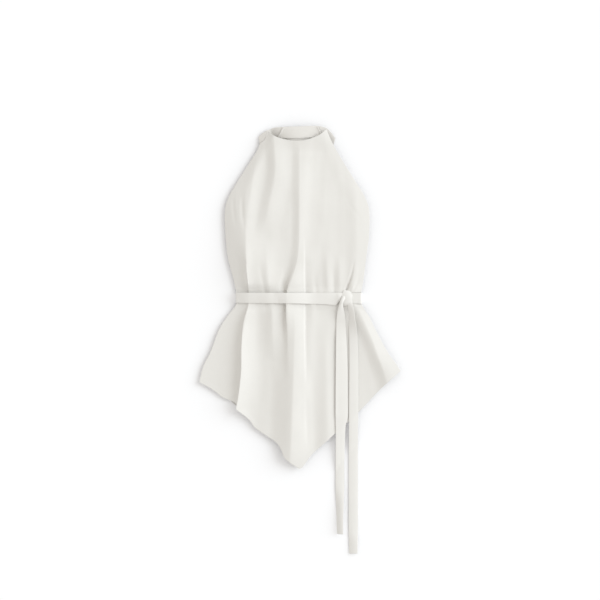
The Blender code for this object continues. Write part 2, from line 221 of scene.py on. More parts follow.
# Folds: each is a ridge (or, with negative heights, a valley) whose crest passes through
# the places, each an x and y with the height there; then the width of its two sides and
# how sharp its crest is, from 0 to 1
Fold = namedtuple("Fold", "crest left right sharp")
FOLDS = {
    "armhole ridge": Fold(
        ((-106, 462, 0), (-110, 408, 3.5), (-119, 355, 4.5), (-127, 300, 3.5), (-132, 235, 0)),
        30, 26, 0.3,
    ),
    "neck ridge": Fold(
        ((-66, 500, 5), (-62, 450, 6.5), (-61, 400, 6.5), (-76, 320, 5), (-90, 255, 0)),
        24, 44, 0.3,
    ),
    "centre ridge, bodice": Fold(
        ((-2, 476, 0), (-3, 440, 3), (-3, 330, 4.6), (-4, 230, 5.4), (-9, 187, 6.6),
         (-20, 150, 7.4), (-26, 130, 5.5), (-30, 113, 3), (-31, 87, 1.5), (-31, 60, 0)),
        20, 58, 0.5,
    ),
    "centre ridge, peplum": Fold(
        ((-26, 110, 0), (-21, 87, 2), (-16, 60, 5), (-14, 30, 8.5), (-15, 0, 11), (-19, -144, 12.5),
         (-24, -262, 12), (-27, -305, 7)),
        56, 72, 0.4,
    ),
    "right valley": Fold(
        ((32, 440, 0), (30, 390, -2), (24, 290, -2.6), (18, 230, -2), (14, 195, 0)),
        34, 34, 0.1,
    ),
    "pleat line": Fold(
        ((9, 205, 0), (9, 165, -1.4), (10, 113, -1.6), (11, 87, -1.4), (11, 20, -1.2),
         (12, -40, -0.8), (14, -110, 0)),
        26, 24, 0.8,
    ),
    "pinched crease": Fold(
        ((-42, 150, 0), (-41, 128, -0.8), (-42, 113, -1.4), (-43, 87, -2.2), (-44, 66, -3),
         (-44, 30, -3.4), (-43, -30, -2.4), (-40, -110, 0)),
        26, 14, 0.3,
    ),
    "waist ridge": Fold(
        ((-84, 240, 0), (-80, 180, 5), (-76, 140, 8), (-72, 113, 9.5), (-69, 87, 10),
         (-68, 50, 8.5), (-66, 0, 5), (-64, -50, 0)),
        42, 56, 0.5,
    ),
    "left dart": Fold(((62, 215, 0), (64, 160, 2.2), (66, 113, 2.4), (66, 87, 0)), 14, 20, 0.5),
    "right dart": Fold(((92, 205, 0), (93, 160, 2.2), (94, 113, 2), (94, 87, 0)), 14, 20, 0.5),
    "side tuck": Fold(
        ((132, 200, 0), (128, 160, 1.6), (122, 113, 2.4), (124, 87, 2.4), (132, 60, 0)),
        16, 22, 0.4,
    ),
    "side fold, bodice": Fold(
        ((-131, 290, 0), (-131, 245, 4.5), (-130.5, 190, 11.5), (-128, 140, 13.5),
         (-124, 113, 7), (-124, 96, 0)),
        33, 84, 1.0,
    ),
    "side fold, peplum": Fold(
        ((-124, 108, 0), (-125, 87, 8), (-136, 38, 14.5), (-141, -14, 16.5), (-142, -74, 17.5),
         (-149, -137, 15.5), (-155, -166, 13.5)),
        33, 56, 1.0,
    ),
    "hem ridge": Fold(((62, 60, 0), (62, 0, 3.5), (62, -100, 4.5), (64, -245, 4.5)), 36, 34, 0.2),
    "flank fold": Fold(
        ((134, 87, 2.4), (146, 60, 5), (160, 28, 8), (172, 0, 9), (184, -36, 9), (198, -74, 8),
         (210, -112, 6.5)),
        30, 150, 0.5,
    ),
}

# How the back lies round the neck: a hollow inside the left shoulder, a swell behind the
# front neckline, and the shoulder end that is folded up at the left
NECK_FOLDS = {
    "left shoulder": Fold(((-72, 520, -3), (-70, 498, -3), (-69, 484, -3), (-68, 466, 0)), 9, 20, 0.3),
    "behind the neckline": Fold(
        ((-12, 455, 0), (-12, 468, 7), (-12, 480, 8.5), (-12, 512, 0)), 62, 74, 0.0,
    ),
    "left ear": Fold(
        ((-78, 512, 0), (-80, 498, 1.2), (-84, 487, 3.5), (-90, 476, 4.5), (-98, 466, 0)), 22, 9, 0.3,
    ),
}

# Finer creases of the cloth, which the solids leave out
CREASES = {
    "pinched crease, its lip": Fold(
        ((-15, 180, 0), (-20, 163, 1.4), (-25, 148, 3.6), (-30, 130, 6.2), (-33.5, 113, 7.2),
         (-35, 87, 7.8), (-35, 72, 8.4), (-34.5, 56, 7.6), (-33.5, 36, 5.4), (-32, 8, 2.6),
         (-31, -40, 0.7), (-30, -90, 0)),
        7, 62, 0.1,
    ),
    "pinched crease, its foot": Fold(
        ((-32, 150, 0), (-36, 132, -2), (-38.5, 113, -3), (-40, 87, -3.6), (-40, 72, -4.2),
         (-39.5, 50, -3.6), (-38.5, 20, -2), (-38, -20, 0)),
        8, 6, 0.3,
    ),
    "pinched crease, its bank": Fold(
        ((-45, 174, 0), (-47, 152, 1.6), (-50, 136, 3.2), (-51, 122, 3.8), (-51, 110, 2.4),
         (-51, 90, 0)),
        26, 9, 0.2,
    ),
    "pleat line, its edge": Fold(
        ((10, 250, 0), (10.5, 190, -1.2), (11, 150, -2), (12, 120, -2.2), (12, 87, -2.4),
         (11.5, 60, -2.8), (11, 36, -2.6), (11.5, 0, -2.2), (12.5, -50, -1.6), (13, -110, 0)),
        3.5, 18, 0.8,
    ),
    "crease to the knot": Fold(
        ((129, 192, 0), (122.5, 158, -2.5), (118.5, 144, -4), (115, 134, -5), (112, 125, -5.5),
         (108, 115, -4), (106, 98, 0)),
        6, 4, 0.6,
    ),
    "side crease by the knot": Fold(
        ((141, 165, 0), (136, 140, -1), (128, 122, -1.2), (120, 108, 0)), 6, 8, 0.4,
    ),
    "crease below the armhole": Fold(
        ((-161, 352, 0), (-162, 330, -1.2), (-160, 306, -1.4), (-156, 270, 0)), 7, 8, 0.3,
    ),
    "second crease below the armhole": Fold(
        ((-138, 350, 0), (-139, 322, -1.4), (-138, 296, -1.2), (-134, 262, 0)), 9, 7, 0.3,
    ),
    "bust crease": Fold(
        ((112, 334, 0), (122, 318, -0.3), (136, 300, -0.35), (150, 280, 0)), 9, 9, 0.3,
    ),
    "waist pucker, left": Fold(
        ((-96, 190, 0), (-92, 150, -1.2), (-86, 118, -1.4), (-84, 87, -1), (-84, 60, 0)), 9, 12, 0.3,
    ),
    "waist pucker, middle": Fold(
        ((34, 160, 0), (36, 130, -0.9), (38, 113, -1), (38, 87, -0.8), (39, 66, 0)), 9, 9, 0.4,
    ),
    "waist pucker, right": Fold(
        ((78, 176, 0), (79, 140, -1), (80, 113, -1.1), (80, 87, 0)), 8, 8, 0.4,
    ),
    "dip by the knot": Fold(((91, 98, 0), (90, 90, -4.5), (89, 84, -3), (88, 74, 0)), 6, 5, 0.4),
    "skirt crease": Fold(
        ((13, -120, 0), (14, -170, -0.7), (16, -230, -0.8), (18, -270, 0)), 7, 10, 0.4,
    ),
}

# Lines that a column of the front's grid follows, so that a sharp fold along it stays crisp
GUIDES = {
    "side fold": (
        Point(-66, 500), Point(-92, 456), Point(-120, 400), Point(-132, 340), Point(-131, 245),
        Point(-131, 190), Point(-127, 140), Point(-124, 113), Point(-125, 87), Point(-137, 38),
        Point(-141, -14), Point(-142, -74), Point(-149, -137), Point(-155, -166),
    ),
    "pinched crease": (
        Point(-34, 490), Point(-24, 400), Point(-14, 300), Point(-12, 220), Point(-15, 180),
        Point(-20, 163), Point(-25, 148), Point(-30, 130), Point(-33.5, 113), Point(-35, 87),
        Point(-34.5, 56), Point(-32, 8), Point(-31, -40), Point(-32, -120), Point(-38, -285),
    ),
    "pleat line": (
        Point(8, 480), Point(10, 400), Point(10, 235), Point(10.5, 190), Point(11, 150),
        Point(12, 120), Point(12, 87), Point(11.5, 60), Point(11, 36), Point(11.5, 0),
        Point(12.5, -50), Point(14, -170), Point(17, -290),
    ),
    "flank": (
        Point(46, 492), Point(84, 400), Point(110, 300), Point(125, 192), Point(121, 160),
        Point(117, 138), Point(112, 122), Point(112, 100), Point(124, 80), Point(139, 60),
        Point(153, 28), Point(163, 0), Point(175, -36), Point(190, -74), Point(203, -112),
    ),
}

# Cloth drawn under a sharp fold from one side: at each x and y of its crest, how far the
# cloth beside it is drawn in, and over what reach
Pull = namedtuple("Pull", "side places")
PULLS = (
    Pull(
        LEFT,
        ((-131, 205, 0, 26), (-129, 175, 6, 28), (-126, 140, 8, 26), (-124, 113, 8, 25),
         (-124.5, 87, 9, 26), (-137, 38, 15, 38), (-141, -14, 16, 40), (-142, -74, 16, 40),
         (-149, -137, 15, 38), (-155, -166, 14, 36)),
    ),
    Pull(
        LEFT,
        ((-20, 163, 0, 14), (-25, 148, 2.4, 14), (-30, 130, 4.6, 15), (-33.5, 113, 5.4, 16),
         (-35, 87, 5.6, 16), (-35, 72, 6, 16), (-34.5, 56, 5.6, 16), (-33.5, 36, 4, 15),
         (-32, 8, 1.6, 14), (-31, -40, 0, 14)),
    ),
)

# Soft unevenness of the cloth: its height, how quickly it changes across and along, and
# where it fades at the sides. A finer and lower wave is added to the first
SWELL = 0.7
SWELL_ACROSS = 0.022
SWELL_ALONG = 0.011
SWELL_SIDES = 24.0
FINER_SWELL = 0.5
FINER_ACROSS = 2.3
FINER_ALONG = 1.8
FINER_AT = 7.0

# The belt as it is seen: its edges at each x, how much it is arched across, and how much
# higher its upper edge stands
Edge = namedtuple("Edge", "x top low crown tilt")
BELT_EDGES = (
    Edge(-156, 113.5, 90, 0.4, 2.5),
    Edge(-138, 113.4, 89.4, 0.4, 7.5),
    Edge(-110, 113.2, 89, 0.4, 8.5),
    Edge(-80, 113.0, 88.6, 0.4, 6.5),
    Edge(-40, 113.0, 88.0, 0.4, 3.0),
    Edge(0, 113.0, 87.4, 0.4, 0.0),
    Edge(60, 113.0, 85.6, 0.6, 0.0),
    Edge(80, 113.0, 84.0, 1.2, 0.0),
    Edge(86, 113.0, 85.6, 2.0, 0.0),
    Edge(90, 113.0, 91.5, 2.8, 0.0),
    Edge(95, 113.0, 92.0, 2.8, 0.0),
    Edge(104, 113.0, 88.6, 1.2, 0.0),
    Edge(118, 112.8, 87.2, 0.5, 0.0),
    Edge(148, 112.8, 87.2, 0.3, 0.0),
)
BELT_COLUMNS = 190
BELT_ROWS = 14

# How the belt rests on the front: on the highest of some levels between its edges, and it
# bridges the folds more widely at its upper edge than at its lower one. Then its bulge
# where it turns under, and the gathers by the knot
BELT_LEVELS = 9
BELT_LEVELS_IN = 0.4
BELT_BRIDGE = 14.0
BELT_FOLLOW = 10.0
BELT_BULGE = 1.6
BELT_GATHERS = 2.5
BELT_GATHER_DEPTH = 0.4
BELT_GATHER_REACH = 20.0
TURN_COLUMNS = 10
UNDER_COLUMNS = 16

# At the right, the front beside the belt rises until it is almost level with the belt
FLUSH = 1.9
FLUSH_FROM = 116.0
FLUSH_WIDTH = 12.0
FLUSH_START = 0.1
FLUSH_FULL = 5.0
FLUSH_FADES = 22.0

# A band of cloth along a path: where it passes, how far it is lifted there, its width, how
# far the edge at the left of the path's direction is turned up in degrees, and how much it
# is arched across
Station = namedtuple("Station", "x y lift width turn arch")
BAND_COLUMNS = 14
TIE_SHORT = (
    Station(104, 105, -0.6, 7, 0, 1.4),
    Station(101.5, 99, 1.6, 7, 0, 1.8),
    Station(98.5, 92, 2.6, 7, 0, 1.8),
    Station(96.4, 85, 1.8, 8, 0, 1.6),
    Station(96, 78, 0.8, 11, 0, 1.4),
    Station(96.2, 66, 0.3, 17, 0, 1.0),
    Station(96.5, 50, 0.2, 21, 0, 0.8),
    Station(96.5, 24, 0.3, 23, -2, 0.7),
    Station(97, 0, 0.6, 25, -4, 0.8),
    Station(98, -60, 0.6, 28, -4, 0.7),
    Station(98, -140, 0.6, 29.5, -3, 0.7),
    Station(98, -182, 0.6, 29.5, -2, 0.7),
    Station(96, -200, 0.6, 25, 0, 0.8),
    Station(95, -230, 0.6, 22, 0, 0.8),
    Station(94.5, -300, 0.8, 21, 0, 0.8),
    Station(94.5, -352, 1.2, 21, 2, 1.0),
    Station(94.5, -392, 1.0, 19, 20, 2.2),
    Station(94.5, -430, 1.0, 18, 32, 2.6),
    Station(95, -465, 1.0, 17, 34, 2.2),
)
TIE_LONG = (
    Station(114, 95, -1.0, 10, 0, 1.0),
    Station(118.5, 85, 0.2, 12, 12, 1.2),
    Station(121.5, 72, 0.8, 14, 26, 1.2),
    Station(123, 52, 1.0, 16, 30, 0.9),
    Station(124.8, 28, 0.7, 19, 18, 0.8),
    Station(126.3, 4, 0.5, 20, 6, 0.6),
    Station(127.2, -50, 0.4, 21, 0, 0.6),
    Station(127, -144, 0.4, 22, 0, 0.7),
    Station(126.5, -240, 0.8, 22, 0, 0.8),
    Station(126.5, -380, 0.8, 22, 0, 0.8),
    Station(126.5, -455, 0.8, 22, 2, 0.8),
    Station(126.5, -480, 0.8, 21, 10, 1.2),
    Station(126.5, -512, 0.6, 20, 13, 1.2),
)

# How the ends rest on what lies under them: each lane along them bridges the dips within a
# reach, is drawn some way to the highest lane, falls no more steeply than a set slope, and
# is held just clear
TIE_STEP = 3.0
TIE_REST = 9.0
TIE_LANES = 5
TIE_STIFF = 0.3
TIE_CLEAR = 0.5
TIE_FALL = 0.13

# The band that wraps the knot, whose lift is measured from the belt's top
WRAP = (
    Station(113, 118, -5.0, 18, 0, 1.5),
    Station(112, 113, -2.4, 22, 0, 1.8),
    Station(111, 104, -0.6, 25, 3, 2.2),
    Station(110.5, 95, -0.2, 25, 3, 2.2),
    Station(110, 87, -1.2, 24, 3, 2.0),
    Station(110, 82, -5.0, 21, 0, 1.5),
)
WRAP_STEP = 1.5

# Stitches: a thread's thickness and how proud of the cloth its middle stands as a share of
# that, the stitches' lengths and spacing, and how far in from the edges they are sewn
STITCH_THICK = 0.4
STITCH_PROUD = 0.2
STITCH_SIDES = 6
STITCH_RINGS = 4
MOST_CORNERS = 4096
SEAM_STITCH = 2.4
SEAM_PITCH = 3.4
HEM_STITCH = 1.0
HEM_PITCH = 8.0
HEM_STITCH_ENDS = 12
HEM_LINE_STEPS = 700
FACING_STITCH_IN = 2.6
FACING_LINE_STEPS = 200
FACING_STEPS_LEFT = 4
END_STITCH_IN = 5.0
END_STITCH_SIDES = 1.6
END_HALF_STEPS = 20

# Colours of the cloth, and how much darker its dye is in patches of some millimetres. The inside's
# colour is the same crepe made darker: painted shade for the back and the facing, which lie in shade
# under the front
IVORY_COLOUR = (0.762, 0.746, 0.719)
# Painted shade: the back and the facing get a darker copy of the ivory crepe, standing in for the
# shade inside the top
INSIDE_PAINTED_SHADE_COLOUR = (0.742, 0.72, 0.69)
TAPE_COLOUR = (0.79, 0.775, 0.749)
THREAD_COLOUR = (0.80, 0.79, 0.765)
MOTTLE = 0.02
DYE_PATCH = 60
DYE_DETAIL = 5.0
DYE_ROUGHNESS = 0.6
DYE_DARK_AT = 0.3
DYE_PALE_AT = 0.7

# The crepe's surface: its threads and pebbles in millimetres, the scale of a wave with one
# thread to a metre, and how the relief and the fine hairs catch the light
CLOTH_THREAD = 0.9
BELT_THREAD = 0.8
SEWING_THREAD = 0.3
THREAD_WAVE = 2 * pi / 20
THREAD_RELIEF = 0.35
PEBBLE = 1.1
PEBBLE_DETAIL = 3.0
RELIEF = 0.25
RELIEF_STRENGTH = 0.55
CREPE_ROUGHNESS = 0.88
CREPE_SHINE = 0.25
HAIRS = 0.12
HAIR_ROUGHNESS = 0.5

# A wide window at the right, an even pale room and white paper
SUN_FROM = (0.80, 0.32, 0.38)
SUN_WIDTH = 52.0
SUN_STRENGTH = 1.93
SUN_COLOUR = (0.894, 0.958, 1.0)
ROOM_COLOUR = (1.0, 0.985, 0.95)
ROOM_STRENGTH = 0.85
PAPER_COLOUR = (0.945, 0.945, 0.965)
PAPER_SIZE = 8
PAPER_BELOW = 0.4

# The camera looks straight down, and the picture is 1.44 m wide on the floor
CAMERA_X = -0.0014
CAMERA_Y = 0.096
CAMERA_HEIGHT = 4.0
CAMERA_LENS = 100.0
CAMERA_SENSOR = 36.0


def mix(a, b, t):
    return a + (b - a) * t


def ease(t):
    """0 to 1 with level ends."""
    t = min(max(t, 0.0), 1.0)
    return t * t * (3 - 2 * t)


def curve(pairs):
    """A smooth curve through pairs of a place and a value, level past its ends."""
    places, values = zip(*sorted(pairs))
    last = len(places) - 1
    slopes = [
        (values[min(i + 1, last)] - values[max(i - 1, 0)])
        / (places[min(i + 1, last)] - places[max(i - 1, 0)])
        for i in range(last + 1)
    ]

    def read(place):
        if place <= places[0]:
            return values[0]
        if place >= places[last]:
            return values[last]
        k = bisect(places, place)
        span = places[k] - places[k - 1]
        t = (place - places[k - 1]) / span
        return (
            values[k - 1] * (1 + 2 * t) * (1 - t) ** 2
            + values[k] * t * t * (3 - 2 * t)
            + span * t * (1 - t) * (slopes[k - 1] * (1 - t) - slopes[k] * t)
        )

    return read


def columns_of(rows, place, *names):
    """One curve for each named column of a table, read by the column called place."""
    return [curve((getattr(row, place), getattr(row, name)) for row in rows) for name in names]


def crests_of(folds):
    """Each fold's x and height along its crest, as curves, with the fold."""
    return [
        (curve((y, x) for x, y, _ in fold.crest), curve((y, h) for _, y, h in fold.crest), fold)
        for fold in folds.values()
    ]


EDGE = dict(zip((LEFT, RIGHT), columns_of(EDGES, "y", "left", "right")))
SHOULDER = dict(zip((LEFT, RIGHT), columns_of(SHOULDER_ENDS, "y", "left", "right")))
BACK_HEM = tuple(Point(p.x, p.y + BACK_HEM_INSET) for p in HEM)
LOFT_LEFT, LOFT_MIDDLE, LOFT_RIGHT = columns_of(SECTIONS, "y", "left", "middle", "right")
EDGE_LOFT = dict(zip((LEFT, RIGHT), columns_of(SECTIONS, "y", "left_edge", "right_edge")))
ROLL = dict(zip((LEFT, RIGHT), columns_of(SECTIONS, "y", "roll_left", "roll_right")))
CURL = dict(zip((LEFT, RIGHT), columns_of(SECTIONS, "y", "curl_left", "curl_right")))
FOLD_CRESTS = crests_of(FOLDS)
CREASE_CRESTS = crests_of(CREASES)
NECK_CRESTS = crests_of(NECK_FOLDS)
PULL_CURVES = [
    (pull.side, *(curve((place[1], place[k]) for place in pull.places) for k in (0, 2, 3)))
    for pull in PULLS
]
GUIDE_LINES = [curve((p.y, p.x) for p in places) for places in GUIDES.values()]
BELT_TOP_EDGE, BELT_LOW_EDGE, BELT_CROWN, BELT_TILT = columns_of(
    BELT_EDGES, "x", "top", "low", "crown", "tilt"
)
hem_y = curve((p.x, p.y) for p in HEM)
back_neck_y = curve((p.x, p.y) for p in BACK_NECK)


def past_belt(y):
    """How far a level lies above or below the belt."""
    return max(y - BELT_TOP, BELT_LOW - y, 0.0)


def belt_rise(y):
    """How far the belt's back run lifts the cloth that lies on it."""
    return (BELT_SOLID_WALL + GAP) * (1 - ease(past_belt(y) / BELT_RAMP))


def curl(x, y):
    """How far the back has curled up near its sides and its hem."""
    sides = [(CURL[side](y), side * (EDGE[side](y) - x)) for side in (LEFT, RIGHT)]
    sides.append((HEM_CURL, y - hem_y(x)))
    return max(up * min(max(1 - inside / CURL_REACH, 0.0), 1.0) ** 2 for up, inside in sides)


def level_floor(x, y):
    """What the back would lie on if its edges didn't curl up."""
    rise = NECK_RISE * ease((y - NECK_RISE_FROM) / (NECK_RISE_TO - NECK_RISE_FROM))
    across = 1 - NECK_SIDE_DROP * min(abs(x - NECK_MIDDLE) / NECK_HALF, 1.0) ** 2
    return rise * across + belt_rise(y)


def seam_x(y):
    """Where the right shoulder seam crosses a level."""
    down = (back_neck_y(FACING_TOP_RIGHT) - y) / FACING_DEPTH
    return mix(FACING_TOP_RIGHT, FACING_LOW_RIGHT, down)


def back_floor(x, y):
    """The underside of the back panel, with its right shoulder stepped up at the seam."""
    step = SHOULDER_STEP * ease((x - seam_x(y)) / SHOULDER_STEP_WIDTH + 0.5)
    step *= ease(1 - (back_neck_y(x) - y) / SHOULDER_STEP_FADES)
    return level_floor(x, y) + curl(x, y) + step + heights(NECK_CRESTS, x, y)


def heights(crests, x, y):
    """What a set of folds adds at a place."""
    total = 0.0
    for crest_x, crest_height, fold in crests:
        away = x - crest_x(y)
        t = 1 - abs(away) / (fold.left if away < 0 else fold.right)
        if t > 0:
            total += crest_height(y) * mix(ease(t), 1 - cos(pi * t / 2), fold.sharp)
    return total


def pressed(y):
    """What the belt leaves of the large folds near it."""
    return 1 - BELT_PRESS * (1 - ease(past_belt(y) / BELT_PRESS_REACH))


def swell(x, y, inside):
    """Soft unevenness, which fades towards the edges and under the belt."""
    wave = noise.noise(Vector((x * SWELL_ACROSS, y * SWELL_ALONG, 0.0)))
    finer = Vector((x * SWELL_ACROSS * FINER_ACROSS, y * SWELL_ALONG * FINER_ALONG, FINER_AT))
    wave += FINER_SWELL * noise.noise(finer)
    return SWELL * wave * ease(inside / SWELL_SIDES) * pressed(y)


def loft(x, y, across):
    """How far the front stands above the back at a place, and across from 0 to 1."""
    if across < 0.5:
        body = mix(LOFT_LEFT(y), LOFT_MIDDLE(y), ease((across - SIDE_START) / SIDE_SPAN))
    else:
        body = mix(LOFT_MIDDLE(y), LOFT_RIGHT(y), ease((across - 0.5) / SIDE_SPAN))
    body += heights(FOLD_CRESTS, x, y) * pressed(y) + heights(CREASE_CRESTS, x, y)
    insides = {side: side * (EDGE[side](y) - x) for side in (LEFT, RIGHT)}
    body += swell(x, y, min(insides.values()))
    for side, inside in insides.items():
        rounded = sin(pi / 2 * min(max(inside / ROLL[side](y), 0.0), 1.0))
        body = mix(EDGE_LOFT[side](y), body, rounded)
    return max(body, curl(x, y) + LEAST_LOFT)


def rows_of(bodice_rows, waist_rows, peplum_rows):
    """Rows from neck to hem, each as its part and how far down that part it lies, from 0 to 1."""
    rows = [("bodice", (i / bodice_rows) ** TOP_ROWS_CLOSER) for i in range(bodice_rows + 1)]
    rows += [("waist", i / waist_rows) for i in range(1, waist_rows + 1)]
    rows += [("peplum", i / peplum_rows) for i in range(1, peplum_rows + 1)]
    return rows


def panel(top, low, side, bow_power):
    """A function that gives where a point of a panel lies, seen from above. Its top and low
    curves bow the rows near them, and side gives where each edge is at a level."""
    top_y = curve((p.x, p.y) for p in top)
    low_y = curve((p.x, p.y) for p in low)

    def place(across, row):
        part, down = row
        bow = 0.0
        if part == "bodice":
            y_left, y_right = mix(top[0].y, WAIST_TOP, down), mix(top[-1].y, WAIST_TOP, down)
            bow = top_y(mix(top[0].x, top[-1].x, across)) - mix(top[0].y, top[-1].y, across)
            bow *= (1 - down) ** bow_power
        elif part == "waist":
            y_left = y_right = mix(WAIST_TOP, WAIST_LOW, down)
        else:
            y_left, y_right = mix(WAIST_LOW, low[0].y, down), mix(WAIST_LOW, low[-1].y, down)
            bow = low_y(mix(low[0].x, low[-1].x, across)) - mix(low[0].y, low[-1].y, across)
            bow *= down
        x = mix(side(LEFT, y_left), side(RIGHT, y_right), across)
        return x, mix(y_left, y_right, across) + bow

    return place


def back_edge(side, y):
    """The shoulder ends at the top, then just inside the edges of the front."""
    low = SHOULDER_ENDS[-1].y
    if y > low:
        return SHOULDER[side](y)
    inside = EDGE[side](y) - side * BACK_INSET
    return mix(SHOULDER[side](low), inside, ease((low - y) / SHOULDER_BLEND))


front_xy = panel(NECKLINE, HEM, lambda side, y: EDGE[side](y), NECK_BOW)
back_xy = panel(BACK_NECK, BACK_HEM, back_edge, BACK_NECK_BOW)


def front_height(x, y, across):
    """The top of the front before any cloth is drawn under a fold."""
    hem = HEM_STEP * (1 - ease((y - hem_y(x) - HEM_DEPTH) / HEM_STEP_WIDTH))
    flush = FLUSH * ease((x - FLUSH_FROM) / FLUSH_WIDTH) * ease(past_belt(y) + FLUSH_START)
    flush *= 1 - ease((past_belt(y) - FLUSH_FULL) / FLUSH_FADES)
    layers = SOLID_WALL + FRONT_LAY + SOLID_WALL
    return level_floor(x, y) + layers + loft(x, y, across) + hem + flush


def drawn_under(x, y):
    """Where the cloth beside a sharp fold goes, drawn in under its crest."""
    for side, crest_x, amount, reach in PULL_CURVES:
        away = side * (x - crest_x(y)) / reach(y)
        if 0 < away < 1:
            x -= side * amount(y) * sin(pi * away)
    return x


def front_point(across, row):
    x, y = front_xy(across, row)
    return drawn_under(x, y), y, front_height(x, y, across)


def back_point(across, row):
    x, y = back_xy(across, row)
    return x, y, back_floor(x, y)


def facing_point(across, down):
    """Down from the neck edge to its foot, with a raised seam near each end."""
    top_x = mix(FACING_TOP_LEFT, FACING_TOP_RIGHT, across)
    low_x = mix(FACING_LOW_LEFT, FACING_LOW_RIGHT, across)
    x = mix(top_x, low_x, down)
    y = back_neck_y(x) - FACING_INSET - FACING_DEPTH * down
    from_end = min(across, 1 - across) * (FACING_LOW_RIGHT - FACING_LOW_LEFT)
    seam = SEAM_HEIGHT * (1 - ease(abs(from_end - SEAM_WIDTH / 2) / SEAM_WIDTH))
    return x, y, back_floor(x, y) + SOLID_WALL + LAY + seam


def guided_columns(row):
    """Where the columns lie across a row of the front, with one along each guide."""
    marks = [0.0]
    for guide in GUIDE_LINES:
        across = 0.5
        for _ in range(GUIDE_TRIES):
            y = front_xy(across, row)[1]
            left, right = front_xy(0.0, row)[0], front_xy(1.0, row)[0]
            across = (guide(y) - left) / (right - left)
        marks.append(min(max(across, marks[-1] + GUIDES_APART), LAST_GUIDE))
    marks.append(1.0)
    places = [0.0]
    for a, b, count in zip(marks, marks[1:], GUIDE_COLUMNS):
        places += [mix(a, b, (k + 1) / count) for k in range(count)]
    return places


def cloth_sheet(columns, rows, place, cut):
    """An open sheet from a grid. place gives where a point of it lies, by its column and
    row, and cut gives where that point is on the flat cloth."""
    mesh = bmesh.new()
    flat = mesh.loops.layers.uv.new("flat")
    bmesh.ops.create_grid(mesh, x_segments=columns, y_segments=rows, size=0.5)
    spots = {
        vert: (round((vert.co.x + 0.5) * columns), round((0.5 - vert.co.y) * rows))
        for vert in mesh.verts
    }
    for face in mesh.faces:
        for loop in face.loops:
            loop[flat].uv = Vector(cut(*spots[loop.vert])) * MM
    for vert, spot in spots.items():
        vert.co = Vector(place(*spot)) * MM
    return mesh


def finish_piece(name, mesh, material, wall=None, side=1, closed=False):
    """The object of a mesh, with the cloth's wall and round edges, on the part's one body."""
    if closed:
        bmesh.ops.remove_doubles(mesh, verts=mesh.verts, dist=JOIN_WITHIN * MM)
    data = bpy.data.meshes.new(name)
    mesh.to_mesh(data)
    mesh.free()
    data.materials.append(material)
    data.shade_smooth()
    piece = bpy.data.objects.new(name, data)
    bpy.context.scene.collection.objects.link(piece)
    if wall:
        solid = piece.modifiers.new("Wall", "SOLIDIFY")
        solid.thickness = wall * MM
        solid.offset = side
        rim = piece.modifiers.new("Turned edge", "BEVEL")
        rim.limit_method = "ANGLE"
        rim.angle_limit = SHARP_EDGE
        rim.width = EDGE_ROUND * MM
        rim.segments = EDGE_SEGMENTS
    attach(piece, "root")
    return piece


def tree_of(piece):
    bpy.context.view_layer.update()
    return BVHTree.FromObject(piece, bpy.context.evaluated_depsgraph_get())


def top_of(trees):
    """A function that gives the highest point of some pieces at a place, or the floor."""
    def height(x, y):
        tops = [tree.ray_cast(Vector((x * MM, y * MM, 1.0)), -UP)[0] for tree in trees]
        return max([0.0, *(hit.z / MM for hit in tops if hit is not None)])

    return height


def eased_over(values, reach):
    """Values along a line, bridged over their dips within a reach and then smoothed. The
    result is nowhere below the values."""
    last = len(values) - 1

    def window(i, row):
        return row[max(i - reach, 0):min(i + reach, last) + 1]

    bridged = [max(window(i, values)) for i in range(last + 1)]
    return [sum(window(i, bridged)) / len(window(i, bridged)) for i in range(last + 1)]


def band(stations, step, seat):
    """A sheet along a path of stations. seat gives the heights that each place starts from,
    in lanes from the band's right side to its left."""
    along = [0.0]
    for a, b in zip(stations, stations[1:]):
        along.append(along[-1] + hypot(b.x - a.x, b.y - a.y))
    reads = {
        name: curve(zip(along, (getattr(s, name) for s in stations))) for name in Station._fields
    }
    rows = round(along[-1] / step)
    places = [along[-1] * j / rows for j in range(rows + 1)]
    centres = [(reads["x"](p), reads["y"](p)) for p in places]
    seats = seat(centres, [reads["width"](p) for p in places])
    seats = [curve((2 * k / (len(lanes) - 1) - 1, h) for k, h in enumerate(lanes)) for lanes in seats]

    def place(i, j):
        p = places[j]
        before, after = centres[max(j - 1, 0)], centres[min(j + 1, rows)]
        heading = Vector((after[0] - before[0], after[1] - before[1], 0)).normalized()
        across = Vector((-heading.y, heading.x, 0))
        turn = radians(reads["turn"](p))
        side = 2 * i / BAND_COLUMNS - 1
        arch = reads["arch"](p) * (1 - side * side)
        out = side * reads["width"](p) / 2
        flat = across * (out * cos(turn) - arch * sin(turn))
        high = out * sin(turn) + arch * cos(turn)
        lowest = abs(reads["width"](p) / 2 * sin(turn))
        x, y = centres[j]
        return x + flat.x, y + flat.y, seats[j](side) + reads["lift"](p) + lowest + high

    def cut(i, j):
        return (i / BAND_COLUMNS - 0.5) * reads["width"](places[j]), places[j]

    return cloth_sheet(BAND_COLUMNS, rows, place, cut)


def add_node(material, kind, **values):
    """A node with some of its properties and input values set. Input names have spaces
    where the arguments have underscores."""
    node = material.node_tree.nodes.new(kind)
    for name, value in values.items():
        label = name.replace("_", " ").title()
        if label in node.inputs:
            node.inputs[label].default_value = value
        else:
            setattr(node, name, value)
    return node


